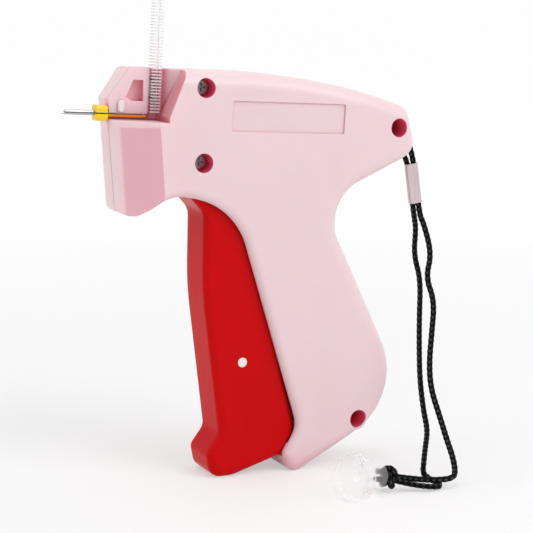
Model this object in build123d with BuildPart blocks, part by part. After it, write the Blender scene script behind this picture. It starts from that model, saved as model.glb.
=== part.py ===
import math
import os

from build123d import *

os.makedirs("parts", exist_ok=True)

# All sizes are in millimetres. The gun has its own directions: u runs rearward
# along the needle axis from the nose, v runs up from that axis, and w runs to
# the gun's left from its middle plane. The nose points to -X.
TILT = 3.5
AXIS_HEIGHT = 123.6
NOSE_X = -45.65

# Housing
HALF_WIDTH = 12.5
REAR_HALF_WIDTH = 10.0
TAPER_LENGTH = 29.2
BODY_TOP = 15.0
TOP_FALL = 37.2
TOP_RADIUS = 210.0
BODY_LENGTH = 109.2
REAR_DROP = 9.8
CHIN_DROP = 32.9
NOSE_BULGE = 1.1
NOSE_CHAMFER_HEIGHT = 4.6
NOSE_CHAMFER_LENGTH = 6.2
GRIP_REACH = 111.6
GRIP_RISE = 21.1
FOOT_FRONT = 66.2
FOOT_REAR = 72.0
BACK_ROUND = 5.0
FRONT_ROUND = 3.0
WALL = 2.4
SIDE_WALL = 2.3
FACET_LENGTH = 13.3
FRONT_HALF_NEAR = 4.6
FRONT_HALF_FAR = 8.0
HEAD_BACK = 22.6
NOSE_POCKET = 3.2

# Head: cut-away on the left, plate with window, feed channel, needle seat
LEDGE = 1.9
CHANNEL_FRONT = 12.6
CHANNEL_REAR = 16.4
CHANNEL_DEPTH = 0.75
PLATE_FACE = 1.8
PLATE_LOW = 0.25
RAMP_HEIGHT = 6.0
WINDOW_DEPTH = 1.6

# Side plate recess and screws
LABEL_LENGTH = 40.9
LABEL_HEIGHT = 10.0
LABEL_DEPTH = 0.5
LABEL_START = 38.0
LABEL_MIDDLE = 0.9
SCREW_RECESS_RADIUS = 3.15
SCREW_SEAT = 5.8
DEEP_SEAT = 1.2
SCREW_HEAD_RADIUS = 2.2
SCREW_HEAD_HEIGHT = 1.6
SCREW_RADIUS = 1.1
SCREW_END = -7.2
BOSS_RADIUS = 4.3

# Trigger and its gear sector
PIVOT_U = 58.6
PIVOT_RISE = 14.55
KNUCKLE_RADIUS = 10.4
TRIGGER_HALF = 9.2
TRIGGER_SIDE = 2.2
TRIGGER_ROUND = 2.6
KNUCKLE_ROOM = 10.9
PIVOT_RADIUS = 2.0
LUG_HALF = 6.4
LUG_RADIUS = 5.0
SECTOR_THICK = 3.0
MODULE = 1.0
SMALL_TEETH = 10
LARGE_TEETH = 14
SECTOR_TEETH = 10
TOOTH_HEIGHT = 0.8
TOOTH_SHARE = 0.36
TOP_ROOM = 0.5
PINION_U = 57.0
AXLE_RADIUS = 1.5
SPRING_PIN_AHEAD = 10.8
SPRING_PIN_RISE = 24.0
SPRING_PIN_RADIUS = 1.7
SPRING_BACK_ROOM = 18.6

# Slide, rod and needle
RACK_LINE = -4.5
SLIDE_HALF = 5.0
SLIDE_TOP = 3.4
SLIDE_LOW = -1.0
SLIDE_FRONT = 54.6
RAIL_INSET = 13.7
BUMPER_LENGTH = 2.4
ROD_RADIUS = 0.5
ROD_TIP = 16.9
NEEDLE_REACH = 16.1
NEEDLE_RADIUS = 0.85
NEEDLE_BORE = 0.62
NEEDLE_SLOT = 0.52
NEEDLE_ROOT = 1.0
NEEDLE_COLLAR = 0.2
NEEDLE_TIP = 0.72
TIP_LENGTH = 2.6
ROOT_GAP = 0.012
HUB_LENGTH = 3.8
HUB_SIZE = 5.0
SHANK_SIZE = 2.5

# Fastener strip and feed wheel
BAR_COUNT = 42
BAR_PITCH = 1.0
BAR_SIZE = 0.44
BAR_LENGTH = 3.3
FILAMENT_LENGTH = 3.2
STRIP_LOW = 0.9
WHEEL_TEETH = 19
WHEEL_WIDTH = 1.9

# Strap
CORD_RADIUS = 0.95
POST_INSET = 5.6
POST_V = -6.6
POST_RADIUS = 1.5
LOOP_RADIUS = 2.55

# Running clearance of pins and of flat sliding faces
PIN_GAP = 0.05
SLIDE_GAP = 0.25

TURN = math.radians(TILT)
U_DIR = (math.cos(TURN), 0, -math.sin(TURN))
V_DIR = (math.sin(TURN), 0, math.cos(TURN))
SIDE = Plane(origin=(NOSE_X, 0, AXIS_HEIGHT), x_dir=U_DIR, z_dir=(0, -1, 0))


def spot(u, v, w=0.0):
    """Place of a point given in the gun's own directions."""
    return SIDE.from_local_coords((u, v, w))


def across(u, v=0.0, w=0.0):
    """Plane square to the needle axis; its x is -w and its y is v."""
    return Plane(origin=spot(u, v, w), x_dir=(0, 1, 0), z_dir=U_DIR)


def level(v):
    """Plane seen from above; its x is u and its y is -w."""
    return Plane(origin=spot(0, v), x_dir=U_DIR, z_dir=V_DIR)


def floor_v(u):
    """Height of the floor, in the gun's own directions."""
    return (u * math.sin(TURN) - AXIS_HEIGHT) / math.cos(TURN)


def polar(center, radius, degrees):
    """Point on a circle of the side view."""
    angle = math.radians(degrees)
    return (center[0] + radius * math.cos(angle), center[1] + radius * math.sin(angle))


def moved_in(corners, moves):
    """Clockwise outline with each side moved inward by its own distance."""
    count = len(corners)
    lines = []
    for i in range(count):
        au, av = corners[i]
        bu, bv = corners[(i + 1) % count]
        length = math.hypot(bu - au, bv - av)
        nu, nv = (bv - av) / length, (au - bu) / length
        lines.append((nu, nv, nu * au + nv * av + moves[i]))
    result = []
    for i in range(count):
        a1, b1, c1 = lines[i - 1]
        a2, b2, c2 = lines[i]
        det = a1 * b2 - a2 * b1
        result.append(((c1 * b2 - c2 * b1) / det, (a1 * c2 - a2 * c1) / det))
    return result


# Places that follow the floor, the body's length and the grip's reach
PIVOT_V = floor_v(PIVOT_U) + PIVOT_RISE
PIVOT = (PIVOT_U, PIVOT_V)
SPRING_PIN_U = PIVOT_U - SPRING_PIN_AHEAD
SPRING_PIN_V = PIVOT_V + SPRING_PIN_RISE
GRIP_BACK = (GRIP_REACH, floor_v(GRIP_REACH) + GRIP_RISE)
TOP_BEND = BODY_LENGTH - TOP_FALL
TAPER_START = BODY_LENGTH - TAPER_LENGTH
RAIL_END = BODY_LENGTH - RAIL_INSET
POST_U = BODY_LENGTH - POST_INSET
SCREWS = [
    (28.4, 9.7, SCREW_SEAT),
    (28.9, -14.6, SCREW_SEAT),
    (BODY_LENGTH - 9.0, -1.5, DEEP_SEAT),
    (GRIP_BACK[0] - 20.3, GRIP_BACK[1] - 6.4, DEEP_SEAT),
]

# Outline of the housing, clockwise from the nose
NOSE_LOW = (-NOSE_BULGE, NOSE_CHAMFER_HEIGHT)
NOSE_TOP = (NOSE_CHAMFER_LENGTH, BODY_TOP)
REAR_LOW = (BODY_LENGTH, -REAR_DROP)
REAR_TOP = (BODY_LENGTH - 4.6, BODY_TOP - 9.8)
WEB = (73.7, -27.1)
FOOT_A = (FOOT_REAR, floor_v(FOOT_REAR))
FOOT_B = (FOOT_FRONT, floor_v(FOOT_FRONT))
TIP = (PIVOT_U + 5.2, PIVOT_V - 7.8)
KNUCKLE = (PIVOT_U + 10.0, PIVOT_V + 1.7)
ARCH = (41.2, -28.7)
CREST = (19.6, -25.4)
CHIN = (8.1, -CHIN_DROP)
CHIN_FRONT = (3.4, 0.4 - CHIN_DROP)

back_corners = [NOSE_TOP, (TOP_BEND, BODY_TOP), REAR_TOP, REAR_LOW, WEB, GRIP_BACK, FOOT_A]
back_radii = [TOP_RADIUS, 6.5, 6.0, 14.5, 23.5]
front_corners = [FOOT_A, FOOT_B, TIP, KNUCKLE, ARCH, CREST, CHIN, CHIN_FRONT, NOSE_LOW]
front_radii = [3.5, 3.2, 9.0, 24.0, 12.0, 5.0, 3.4]

with BuildLine(SIDE) as back_edge:
    FilletPolyline(*back_corners, radius=back_radii)

with BuildLine(SIDE) as front_edge:
    FilletPolyline(*front_corners, radius=front_radii)

with BuildSketch(SIDE) as body_outline:
    with BuildLine():
        FilletPolyline(*back_corners, radius=back_radii)
        FilletPolyline(*front_corners, radius=front_radii)
        Line(NOSE_LOW, NOSE_TOP)
    make_face()

# Inside of the housing: open along the trigger, closed elsewhere
OPEN = -1.2
cavity_corners = moved_in(
    [NOSE_LOW, NOSE_TOP, (TOP_BEND, BODY_TOP), REAR_TOP, REAR_LOW, WEB, GRIP_BACK]
    + [FOOT_A, FOOT_B, TIP, KNUCKLE, ARCH, CREST, CHIN, CHIN_FRONT],
    [WALL, WALL, WALL, WALL, WALL, WALL, WALL, 4.5, 3.0, OPEN, OPEN, OPEN, WALL, WALL, WALL],
)
cavity_radii = [0, TOP_RADIUS - WALL, 4.0, 3.6, 14.5 + WALL, 23.5 - WALL]
cavity_radii += [0, 0, 0, 7.0, 22.0, 2.0, 3.0]

with BuildSketch(SIDE) as cavity_outline:
    with BuildLine():
        FilletPolyline(*cavity_corners, radius=cavity_radii)
        Line(cavity_corners[-1], cavity_corners[0])
    make_face()


def plan_view(half, rear_half):
    """Shape of the housing from above, symmetric about its middle plane."""
    end = BODY_LENGTH + 6.0
    with BuildSketch(level(0)) as view:
        with BuildLine():
            Line((-30, half), (TAPER_START, half))
            TangentArc((TAPER_START, half), (end, rear_half), tangent=(1, 0))
            Line((end, rear_half), (end, -rear_half))
            TangentArc((TAPER_START, -half), (end, -rear_half), tangent=(1, 0))
            Line((TAPER_START, -half), (-30, -half))
            Line((-30, -half), (-30, half))
        make_face()
    return view.sketch


outer_plan = plan_view(HALF_WIDTH, REAR_HALF_WIDTH - 0.6)
inner_plan = plan_view(HALF_WIDTH - SIDE_WALL, REAR_HALF_WIDTH - 0.6 - SIDE_WALL)


def rounded_half(run, radius, side):
    """One half of the housing with one run of its outer edges rounded."""
    with BuildPart() as half:
        extrude(to_extrude=body_outline.sketch, amount=HALF_WIDTH * side, dir=SIDE.z_dir)
        extrude(to_extrude=outer_plan, amount=300, both=True, mode=Mode.INTERSECT)
        chosen = []
        for edge in half.edges():
            middle = edge @ 0.5
            flat = Vector(middle.X, 0, middle.Z)
            if abs(middle.Y) > HALF_WIDTH / 2 and run.distance_to(flat) < 0.05:
                chosen.append(edge)
        fillet(chosen, radius)
    return half.part


def cavity_half(side):
    """Inside of one half of the housing."""
    with BuildPart() as room:
        extrude(to_extrude=cavity_outline.sketch, amount=HALF_WIDTH * side, dir=SIDE.z_dir)
        extrude(to_extrude=inner_plan, amount=300, both=True, mode=Mode.INTERSECT)
        with BuildSketch(across(HEAD_BACK)):
            Rectangle(400, 400)
        extrude(amount=200, mode=Mode.INTERSECT)
    return room.part


rake = math.atan2(CHIN_FRONT[0] - NOSE_LOW[0], NOSE_LOW[1] - CHIN_FRONT[1])
nose_x = SIDE.x_dir * math.cos(rake) + SIDE.y_dir * math.sin(rake)
nose_z = SIDE.y_dir * math.cos(rake) - SIDE.x_dir * math.sin(rake)
NOSE_PLAN = Plane(origin=spot(*NOSE_LOW), x_dir=nose_x, z_dir=nose_z)


def facet(front_half, side):
    """Wedge taken off one cheek of the nose."""
    slope = (HALF_WIDTH - front_half) / FACET_LENGTH
    with BuildPart() as wedge:
        with BuildSketch(NOSE_PLAN):
            with BuildLine():
                Polyline(
                    (-6, -side * (front_half - 6 * slope)),
                    (FACET_LENGTH, -side * HALF_WIDTH),
                    (FACET_LENGTH, -side * (HALF_WIDTH + 4)),
                    (-6, -side * (HALF_WIDTH + 4)),
                    close=True,
                )
            make_face()
        extrude(amount=80, both=True)
    return wedge.part


def round_bar(u, v, w0, w1, radius):
    """Round bar along w."""
    with BuildPart() as bar:
        with BuildSketch(SIDE.offset(w0)):
            with Locations((u, v)):
                Circle(radius)
        extrude(amount=w1 - w0, dir=SIDE.z_dir)
    return bar.part


def block(u0, u1, v0, v1, w0, w1):
    """Block square to the gun's own directions."""
    with BuildPart() as solid:
        with BuildSketch(SIDE.offset(w0)):
            with Locations(((u0 + u1) / 2, (v0 + v1) / 2)):
                Rectangle(u1 - u0, v1 - v0)
        extrude(amount=w1 - w0, dir=SIDE.z_dir)
    return solid.part


def prism(points, w0, w1):
    """Straight-sided shape of the side view between two depths."""
    with BuildPart() as solid:
        with BuildSketch(SIDE.offset(w0)):
            with BuildLine():
                Polyline(*points, close=True)
            make_face()
        extrude(amount=w1 - w0, dir=SIDE.z_dir)
    return solid.part


def bore(u0, u1, v, w, radius):
    """Round bar along u."""
    with BuildPart() as bar:
        with BuildSketch(across(u0, v, w)):
            Circle(radius)
        extrude(amount=u1 - u0)
    return bar.part


PINION_V = RACK_LINE - MODULE * LARGE_TEETH / 2
SMALL_RADIUS = MODULE * SMALL_TEETH / 2
LARGE_RADIUS = MODULE * LARGE_TEETH / 2
CENTERS = math.hypot(PINION_U - PIVOT_U, PINION_V - PIVOT_V)
SECTOR_RADIUS = CENTERS - SMALL_RADIUS
MESH_ANGLE = math.degrees(math.atan2(PINION_V - PIVOT_V, PINION_U - PIVOT_U))
TOOTH_PITCH = math.pi * MODULE

WHEEL_RADIUS = WHEEL_TEETH * BAR_PITCH / (2 * math.pi)
WHEEL_V = STRIP_LOW + BAR_PITCH * 7.5
WHEEL_W = -WHEEL_RADIUS
BAR_START = (CHANNEL_FRONT + CHANNEL_REAR - BAR_LENGTH) / 2

inner_half = HALF_WIDTH - SIDE_WALL
SPRING_SLOPE = 10.5
SPRING_SPAN = GRIP_REACH - SPRING_PIN_U - SPRING_BACK_ROOM
spring_dir = (math.cos(math.radians(SPRING_SLOPE)), math.sin(math.radians(SPRING_SLOPE)))


def along_spring(distance, rise=0.0):
    """Point of the side view at a distance from the spring pin toward the grip's back."""
    u = SPRING_PIN_U + spring_dir[0] * distance - spring_dir[1] * rise
    v = SPRING_PIN_V + spring_dir[1] * distance + spring_dir[0] * rise
    return (u, v)


def inner_fittings(side):
    """Bosses, rails and lugs inside one half of the housing."""
    deep = (inner_half + 0.4) * side
    with BuildPart() as fittings:
        for u, v, _ in SCREWS:
            add(round_bar(u, v, 0, deep - 0.3 * side, BOSS_RADIUS))
        add(round_bar(PINION_U, PINION_V, 4.4 * side, deep, 3.4))
        add(round_bar(POST_U, POST_V, 1.7 * side, 8.6 * side, 3.0))
        add(block(HEAD_BACK - 1, RAIL_END, SLIDE_TOP + SLIDE_GAP, SLIDE_TOP + 1.8, 2.6 * side, deep))
        add(block(HEAD_BACK - 1, RAIL_END, SLIDE_LOW - 1.7, SLIDE_LOW - SLIDE_GAP, 3.9 * side, deep))
        corners = [along_spring(SPRING_SPAN, -6), along_spring(SPRING_SPAN + 3, -6)]
        corners += [along_spring(SPRING_SPAN + 3, 6), along_spring(SPRING_SPAN, 6)]
        add(prism(corners, 0, deep))
        add(round_bar(PIVOT_U, PIVOT_V, 0, LUG_HALF * side, LUG_RADIUS))
        lug = [(PIVOT_U, PIVOT_V + LUG_RADIUS), (PIVOT_U + 18, PIVOT_V + 1.0)]
        lug += [(PIVOT_U + 21, PIVOT_V - 9.5), (PIVOT_U + 11, PIVOT_V - 9.5)]
        lug += [(PIVOT_U + 8.8, PIVOT_V - 4.6), (PIVOT_U, PIVOT_V - LUG_RADIUS)]
        add(prism(lug, 0, LUG_HALF * side))
        extrude(
            to_extrude=body_outline.sketch,
            amount=(inner_half + 0.6) * side,
            dir=SIDE.z_dir,
            mode=Mode.INTERSECT,
        )
        add(round_bar(PIVOT_U, PIVOT_V, 0, LUG_HALF * side, LUG_RADIUS))
        add(prism(lug, 0, LUG_HALF * side))
    return fittings.part


nose_pocket = [(5.0, -6.5), (24.0, -6.5), (24.0, -22.0), (9.0, -29.4), (6.6, -29.4)]

recess_corners = [(-8, -LEDGE), (15.8, -LEDGE), (23.9, 20.3), (-8, 20.3)]

with BuildPart() as head_ramp:
    with BuildSketch(SIDE):
        with BuildLine():
            FilletPolyline(*recess_corners, radius=[0, 2.2, 0, 0], close=True)
        make_face()
    extrude(amount=RAMP_HEIGHT, dir=SIDE.z_dir)
    with BuildSketch(level(-5)):
        with BuildLine():
            Polyline(
                (CHANNEL_REAR, -0.6),
                (CHANNEL_REAR + 5.2, -RAMP_HEIGHT),
                (CHANNEL_REAR + 5.2, -RAMP_HEIGHT - 2),
                (CHANNEL_REAR, -RAMP_HEIGHT - 2),
                close=True,
            )
        make_face()
    extrude(amount=40, mode=Mode.INTERSECT)

with BuildPart() as left_shell:
    add(rounded_half(back_edge.wires()[0], BACK_ROUND, 1))
    add(rounded_half(front_edge.wires()[0], FRONT_ROUND, 1), mode=Mode.INTERSECT)
    add(facet(FRONT_HALF_NEAR, 1), mode=Mode.SUBTRACT)
    add(cavity_half(1), mode=Mode.SUBTRACT)
    add(prism(nose_pocket, 0, NOSE_POCKET), mode=Mode.SUBTRACT)
    add(round_bar(PIVOT_U, PIVOT_V, 0, TRIGGER_HALF + 0.4, KNUCKLE_ROOM), mode=Mode.SUBTRACT)
    add(inner_fittings(1))
    with BuildSketch(SIDE.offset(RAMP_HEIGHT)):
        with BuildLine():
            FilletPolyline(*recess_corners, radius=[0, 2.2, 0, 0], close=True)
        make_face()
    extrude(amount=20, dir=SIDE.z_dir, mode=Mode.SUBTRACT)
    add(block(-8, CHANNEL_REAR, -LEDGE, 25, 0, 20), mode=Mode.SUBTRACT)
    add(head_ramp.part, mode=Mode.SUBTRACT)
    for u, v, seat in SCREWS:
        add(round_bar(u, v, seat, 20, SCREW_RECESS_RADIUS), mode=Mode.SUBTRACT)
        add(round_bar(u, v, -1, seat + 1, SCREW_RADIUS + 0.2), mode=Mode.SUBTRACT)
    with BuildSketch(SIDE.offset(HALF_WIDTH - LABEL_DEPTH)):
        with Locations((LABEL_START + LABEL_LENGTH / 2, LABEL_MIDDLE)):
            RectangleRounded(LABEL_LENGTH, LABEL_HEIGHT, 0.8)
    extrude(amount=5, dir=SIDE.z_dir, mode=Mode.SUBTRACT)
    add(round_bar(PIVOT_U, PIVOT_V, -1, 20, PIVOT_RADIUS + 0.01), mode=Mode.SUBTRACT)
    add(round_bar(PINION_U, PINION_V, -1, 9.6, AXLE_RADIUS + 0.01), mode=Mode.SUBTRACT)
    add(round_bar(POST_U, POST_V, -1, 7.1, POST_RADIUS + 0.01), mode=Mode.SUBTRACT)
    add(round_bar(POST_U, POST_V, -1.4, 1.4, 3.8), mode=Mode.SUBTRACT)
    add(block(POST_U, POST_U + 16, POST_V - 3.8, POST_V + 3.8, -1.4, 1.4), mode=Mode.SUBTRACT)
    add(bore(CHANNEL_REAR - 1, HEAD_BACK + 1, 0, 0, ROD_RADIUS + 0.2), mode=Mode.SUBTRACT)
    add(bore(CHANNEL_REAR + 0.6, HEAD_BACK + 1, 0, 0, 1.52), mode=Mode.SUBTRACT)
left_shell.part.label = "left_shell"
export_step(left_shell.part, "parts/left_shell.step")

with BuildPart() as head_plate:
    extrude(to_extrude=body_outline.sketch, amount=PLATE_FACE, dir=SIDE.z_dir)
    with BuildSketch(SIDE):
        with Locations((CHANNEL_FRONT / 2 - 5, PLATE_LOW + 15)):
            Rectangle(CHANNEL_FRONT + 10, 30)
    extrude(amount=PLATE_FACE, dir=SIDE.z_dir, mode=Mode.INTERSECT)

window = [(7.2, 11.0), (10.6, 11.0), (10.9, 4.2), (6.7, 4.2), (4.9, 5.4)]
LOCK_U = 3.2
LOCK_V = 2.45
shank_half = SHANK_SIZE / 2 + 0.1

with BuildPart() as right_shell:
    add(rounded_half(back_edge.wires()[0], BACK_ROUND, -1))
    add(rounded_half(front_edge.wires()[0], FRONT_ROUND, -1), mode=Mode.INTERSECT)
    add(facet(FRONT_HALF_FAR, -1), mode=Mode.SUBTRACT)
    add(cavity_half(-1), mode=Mode.SUBTRACT)
    add(prism(nose_pocket, 0, -NOSE_POCKET), mode=Mode.SUBTRACT)
    add(round_bar(PIVOT_U, PIVOT_V, 0, -TRIGGER_HALF - 0.4, KNUCKLE_ROOM), mode=Mode.SUBTRACT)
    add(inner_fittings(-1))
    add(head_plate.part)
    add(block(-8, CHANNEL_FRONT + 1, -shank_half, shank_half, -shank_half, shank_half), mode=Mode.SUBTRACT)
    add(block(CHANNEL_FRONT, CHANNEL_REAR, -shank_half, 25, -CHANNEL_DEPTH, 20), mode=Mode.SUBTRACT)
    add(prism(window, -WINDOW_DEPTH, 20), mode=Mode.SUBTRACT)
    add(round_bar(LOCK_U, LOCK_V, -1.6, 20, 0.85), mode=Mode.SUBTRACT)
    add(
        block(
            BAR_START + 0.1,
            BAR_START + WHEEL_WIDTH + 0.5,
            WHEEL_V - WHEEL_RADIUS - 0.6,
            WHEEL_V + WHEEL_RADIUS + 0.6,
            WHEEL_W - WHEEL_RADIUS - 1.6,
            0,
        ),
        mode=Mode.SUBTRACT,
    )
    add(bore(BAR_START - 1.4, HEAD_BACK + 0.5, WHEEL_V, WHEEL_W, 0.81), mode=Mode.SUBTRACT)
    add(block(CHANNEL_FRONT - 0.2, CHANNEL_FRONT + 0.2, 0.75, 5.2, -2.4, 0), mode=Mode.SUBTRACT)
    for u, v, _ in SCREWS:
        add(round_bar(u, v, 1, SCREW_END - 0.6, SCREW_RADIUS + 0.01), mode=Mode.SUBTRACT)
    add(round_bar(PIVOT_U, PIVOT_V, 1, -20, PIVOT_RADIUS + 0.01), mode=Mode.SUBTRACT)
    add(round_bar(PINION_U, PINION_V, 1, -9.6, AXLE_RADIUS + 0.01), mode=Mode.SUBTRACT)
    add(round_bar(POST_U, POST_V, 1, -7.1, POST_RADIUS + 0.01), mode=Mode.SUBTRACT)
    add(round_bar(POST_U, POST_V, 1.4, -1.4, 3.8), mode=Mode.SUBTRACT)
    add(block(POST_U, POST_U + 16, POST_V - 3.8, POST_V + 3.8, -1.4, 1.4), mode=Mode.SUBTRACT)
    add(bore(CHANNEL_REAR - 1, HEAD_BACK + 1, 0, 0, ROD_RADIUS + 0.2), mode=Mode.SUBTRACT)
    add(bore(CHANNEL_REAR + 0.6, HEAD_BACK + 1, 0, 0, 1.52), mode=Mode.SUBTRACT)
right_shell.part.label = "right_shell"
export_step(right_shell.part, "parts/right_shell.step")

# Trigger: hollow lever open to the rear, with a gear sector on its middle web
TOE_FRONT = PIVOT_U - 19.6
TOE_REAR = PIVOT_U - 11.6
TOP_ANGLE = 106.0
trigger_corners = [
    (26.4, -26.1),
    (31.8, -31.6),
    (32.7, -57.0),
    (PIVOT_U - 17.2, PIVOT_V - 0.9),
    (PIVOT_U - 21.6, PIVOT_V - 7.5),
    (TOE_FRONT, floor_v(TOE_FRONT)),
    (TOE_REAR, floor_v(TOE_REAR)),
    (PIVOT_U + KNUCKLE_RADIUS, PIVOT_V - 7.3),
    (PIVOT_U + KNUCKLE_RADIUS, PIVOT_V + 1.6),
    (48.6, -31.0),
    polar(PIVOT, CENTERS - LARGE_RADIUS - TOOTH_HEIGHT - TOP_ROOM, TOP_ANGLE),
]
trigger_radii = [6.0, 120.0, 4.5, 3.2, 4.5, 12.0, KNUCKLE_RADIUS - 0.5, KNUCKLE_RADIUS, 16.0]
front_run = trigger_corners[:7]

with BuildLine(SIDE) as trigger_front:
    FilletPolyline(*front_run, radius=trigger_radii[:5])

hollow = [(31.0, -15.0), (34.7, -33.0), (35.5, -57.0), (PIVOT_U - 15.0, PIVOT_V + 2.7)]
hollow += [(PIVOT_U - 6.6, PIVOT_V - 6.3), (PIVOT_U + 23.4, PIVOT_V - 6.3), (PIVOT_U + 23.4, -15.0)]

rim = SECTOR_RADIUS - MODULE

sector_points = []
for k in range(-1, SECTOR_TEETH - 1):
    middle = MESH_ANGLE + math.degrees(TOOTH_PITCH / SECTOR_RADIUS) * (k + 0.5)
    half = math.degrees(TOOTH_PITCH * TOOTH_SHARE / 2 / SECTOR_RADIUS)
    sector_points.append(polar(PIVOT, rim, middle - half * 1.7))
    sector_points.append(polar(PIVOT, SECTOR_RADIUS + TOOTH_HEIGHT, middle - half * 0.5))
    sector_points.append(polar(PIVOT, SECTOR_RADIUS + TOOTH_HEIGHT, middle + half * 0.5))
    sector_points.append(polar(PIVOT, rim, middle + half * 1.7))

with BuildPart() as trigger:
    with BuildSketch(SIDE.offset(-TRIGGER_HALF)):
        with BuildLine():
            FilletPolyline(*trigger_corners, radius=trigger_radii)
            Line(trigger_corners[-1], trigger_corners[0])
        make_face()
    extrude(amount=2 * TRIGGER_HALF, dir=SIDE.z_dir)
    chosen = []
    for edge in trigger.edges():
        middle = edge @ 0.5
        flat = Vector(middle.X, 0, middle.Z)
        if abs(abs(middle.Y) - TRIGGER_HALF) < 0.01 and trigger_front.wires()[0].distance_to(flat) < 0.05:
            chosen.append(edge)
    fillet(chosen, TRIGGER_ROUND)
    inside = TRIGGER_HALF - TRIGGER_SIDE
    add(prism(hollow, -inside, inside), mode=Mode.SUBTRACT)
    with BuildSketch(SIDE.offset(-SECTOR_THICK)):
        with BuildLine():
            Polyline(
                *sector_points,
                (29.6, -25.4),
                (32.6, -33.0),
                (33.6, -56.0),
                (40.0, -52.0),
                (50.0, -38.0),
                (55.0, -26.0),
                (57.0, -21.0),
                close=True,
            )
        make_face()
    extrude(amount=SECTOR_THICK, dir=SIDE.z_dir)
    add(
        round_bar(PIVOT_U, PIVOT_V, -TRIGGER_HALF + 0.8, TRIGGER_HALF - 0.8, PIVOT_RADIUS + PIN_GAP),
        mode=Mode.SUBTRACT,
    )
    add(
        round_bar(SPRING_PIN_U, SPRING_PIN_V, -TRIGGER_HALF - 1, TRIGGER_HALF + 1, SPRING_PIN_RADIUS + 0.01),
        mode=Mode.SUBTRACT,
    )
trigger.part.label = "trigger"
export_step(trigger.part, "parts/trigger.step")

with BuildPart() as trigger_pivot_pin:
    add(round_bar(PIVOT_U, PIVOT_V, -TRIGGER_HALF + 0.9, TRIGGER_HALF - 0.9, PIVOT_RADIUS))
trigger_pivot_pin.part.label = "trigger_pivot_pin"
export_step(trigger_pivot_pin.part, "parts/trigger_pivot_pin.step")

with BuildPart() as spring_pin:
    add(round_bar(SPRING_PIN_U, SPRING_PIN_V, -TRIGGER_HALF - 0.1, TRIGGER_HALF + 0.1, SPRING_PIN_RADIUS))
    chamfer(spring_pin.edges(), 0.25)
spring_pin.part.label = "spring_pin"
export_step(spring_pin.part, "parts/spring_pin.step")

# Return spring between a seat on the trigger's pin and a rib at the grip's back
SPRING_RADIUS = 3.4
WIRE_RADIUS = 0.45
SPRING_TURNS = 9
SEAT_FACE = 5.0

with BuildPart() as spring_seat:
    corners = [along_spring(-3.4, -4.4), along_spring(SEAT_FACE, -4.4)]
    corners += [along_spring(SEAT_FACE, 4.4), along_spring(-3.4, 4.4)]
    add(prism(corners, -4.4, 4.4))
    seat_plane = Plane(
        origin=spot(*along_spring(SEAT_FACE)),
        x_dir=(0, 1, 0),
        z_dir=SIDE.x_dir * spring_dir[0] + SIDE.y_dir * spring_dir[1],
    )
    with BuildSketch(seat_plane):
        Circle(SPRING_RADIUS - WIRE_RADIUS - 0.4)
    extrude(amount=4.0)
    add(
        round_bar(SPRING_PIN_U, SPRING_PIN_V, -10, 10, SPRING_PIN_RADIUS + PIN_GAP),
        mode=Mode.SUBTRACT,
    )
spring_seat.part.label = "spring_seat"
export_step(spring_seat.part, "parts/spring_seat.step")

coil_plane = seat_plane.offset(WIRE_RADIUS + 0.05)
coil_length = SPRING_SPAN - SEAT_FACE - 2 * WIRE_RADIUS - 0.1
with BuildPart() as return_spring:
    with BuildLine() as coil:
        Helix(
            pitch=coil_length / SPRING_TURNS,
            height=coil_length,
            radius=SPRING_RADIUS,
            center=coil_plane.origin,
            direction=coil_plane.z_dir,
        )
    with BuildSketch(Plane(origin=coil.line @ 0, z_dir=coil.line % 0)):
        Circle(WIRE_RADIUS)
    sweep(path=coil.line, is_frenet=True)
return_spring.part.label = "return_spring"
export_step(return_spring.part, "parts/return_spring.step")


def gear_points(teeth, start):
    """Corners of a straight-flanked gear with one tooth at the given angle."""
    radius = MODULE * teeth / 2
    half = 360 / teeth * TOOTH_SHARE / 2
    points = []
    for k in range(teeth):
        middle = start + 360 * k / teeth
        points.append(polar((PINION_U, PINION_V), radius - MODULE, middle - half * 1.6))
        points.append(polar((PINION_U, PINION_V), radius + TOOTH_HEIGHT, middle - half * 0.4))
        points.append(polar((PINION_U, PINION_V), radius + TOOTH_HEIGHT, middle + half * 0.4))
        points.append(polar((PINION_U, PINION_V), radius - MODULE, middle + half * 1.6))
    return points


with BuildPart() as pinion:
    add(prism(gear_points(SMALL_TEETH, MESH_ANGLE + 180), -SECTOR_THICK - 0.2, 0.4))
    add(prism(gear_points(LARGE_TEETH, 90), 0.4, 3.6))
    add(round_bar(PINION_U, PINION_V, -5, 5, AXLE_RADIUS + PIN_GAP), mode=Mode.SUBTRACT)
pinion.part.label = "pinion"
export_step(pinion.part, "parts/pinion.step")

with BuildPart() as pinion_axle:
    add(round_bar(PINION_U, PINION_V, -9.5, 9.5, AXLE_RADIUS))
pinion_axle.part.label = "pinion_axle"
export_step(pinion_axle.part, "parts/pinion_axle.step")

with BuildPart() as pinion_washers:
    add(round_bar(PINION_U, PINION_V, 3.75, 4.35, 3.2))
    add(round_bar(PINION_U, PINION_V, -4.35, -3.35, 3.2))
    add(round_bar(PINION_U, PINION_V, -6, 6, AXLE_RADIUS + 0.02), mode=Mode.SUBTRACT)
pinion_washers.part.label = "pinion_washers"
export_step(pinion_washers.part, "parts/pinion_washers.step")

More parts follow.
